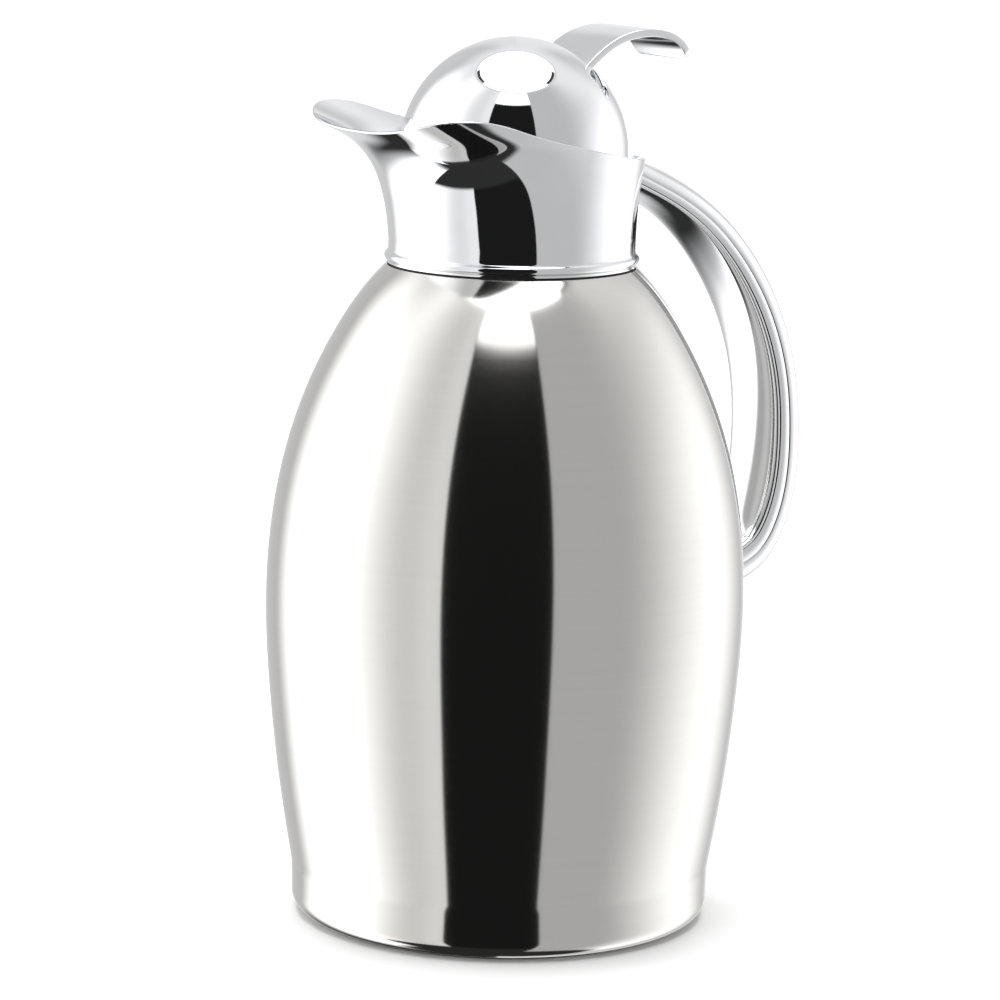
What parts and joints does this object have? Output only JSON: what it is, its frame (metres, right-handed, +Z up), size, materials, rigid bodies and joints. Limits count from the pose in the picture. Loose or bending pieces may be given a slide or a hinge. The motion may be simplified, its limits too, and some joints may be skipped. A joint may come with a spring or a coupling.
{
  "type": "coffee pot",
  "caption": "Insulated steel coffee pot with a flared pouring collar, arched handle, screw-in ball stopper and a thumb lever that opens the pouring valve.",
  "frame": {"origin": "centre of the foot pad's underside, on the body's axis", "axes": "+Z up along the body's axis, -X towards the spout, +X towards the handle"},
  "size_m": [0.1725, 0.14, 0.2597],
  "materials": {
    "brushed_body": "fine horizontal brushing",
    "steel_inside": "plain mill finish",
    "polished_chrome": "mirror polished",
    "black_rubber": "matt",
    "clear_silicone": "soft translucent silicone",
    "black_plastic": "fine moulded texture",
    "foam": "closed-cell foam",
    "screw_steel": "bright drawn"
  },
  "bodies": {
    "pot": {"outer_shell": "brushed_body", "inner_flask": "steel_inside", "base_cup": "brushed_body", "base_pad": "black_rubber", "shell_floor": "steel_inside", "seal_plug": "steel_inside", "getter": "steel_inside", "neck_ring": "black_plastic", "neck_gasket": "black_rubber", "collar_gasket": "black_rubber", "collar_spout": "polished_chrome", "handle_outer_shell": "polished_chrome", "handle_inner_shell": "polished_chrome", "handle_top_screws": "screw_steel", "handle_bracket": "steel_inside", "handle_bottom_screw": "screw_steel"},
    "seal": {"stopper_seal": "clear_silicone"},
    "stopper": {"stopper_body": "black_plastic", "stopper_base": "black_plastic", "insulation_cup": "black_plastic", "insulation_lid": "black_plastic", "insulation_foam": "foam", "stopper_deck": "black_plastic", "deck_screws": "screw_steel", "lever_cradle": "black_plastic", "cradle_screws": "screw_steel", "pivot_pin": "screw_steel", "dome_cover": "polished_chrome", "dome_screws": "screw_steel", "return_spring": "screw_steel"},
    "lever": {"lever": "polished_chrome"},
    "valve": {"valve_stem": "screw_steel", "valve_clip": "screw_steel", "valve_disc": "black_plastic", "valve_seal": "clear_silicone", "stem_button": "black_plastic"}
  },
  "joints": [
    {"name": "stopper_lift", "type": "slide", "parent": "pot", "child": "seal", "axis": [0, 0, 1], "range_m": [0, 0.13]},
    {"name": "stopper_turn", "type": "hinge", "parent": "seal", "child": "stopper", "pos_m": [0, 0, 0.2], "axis": [0, 0, 1], "range_deg": [0, 90]},
    {"name": "lever_press", "type": "hinge", "parent": "stopper", "child": "lever", "pos_m": [-0.022, 0, 0.238], "axis": [0, 1, 0], "range_deg": [0, 16], "stiffness_Nm_per_rad": 0.3, "springref_deg": -28.65},
    {"name": "valve_open", "type": "slide", "parent": "stopper", "child": "valve", "axis": [0, 0, -1], "range_m": [0, 0.006], "deforming": ["return_spring"]}
  ],
  "couplings": [
    {"joint": "valve_open", "follows": "lever_press", "m_per_rad": 0.021486}
  ]
}
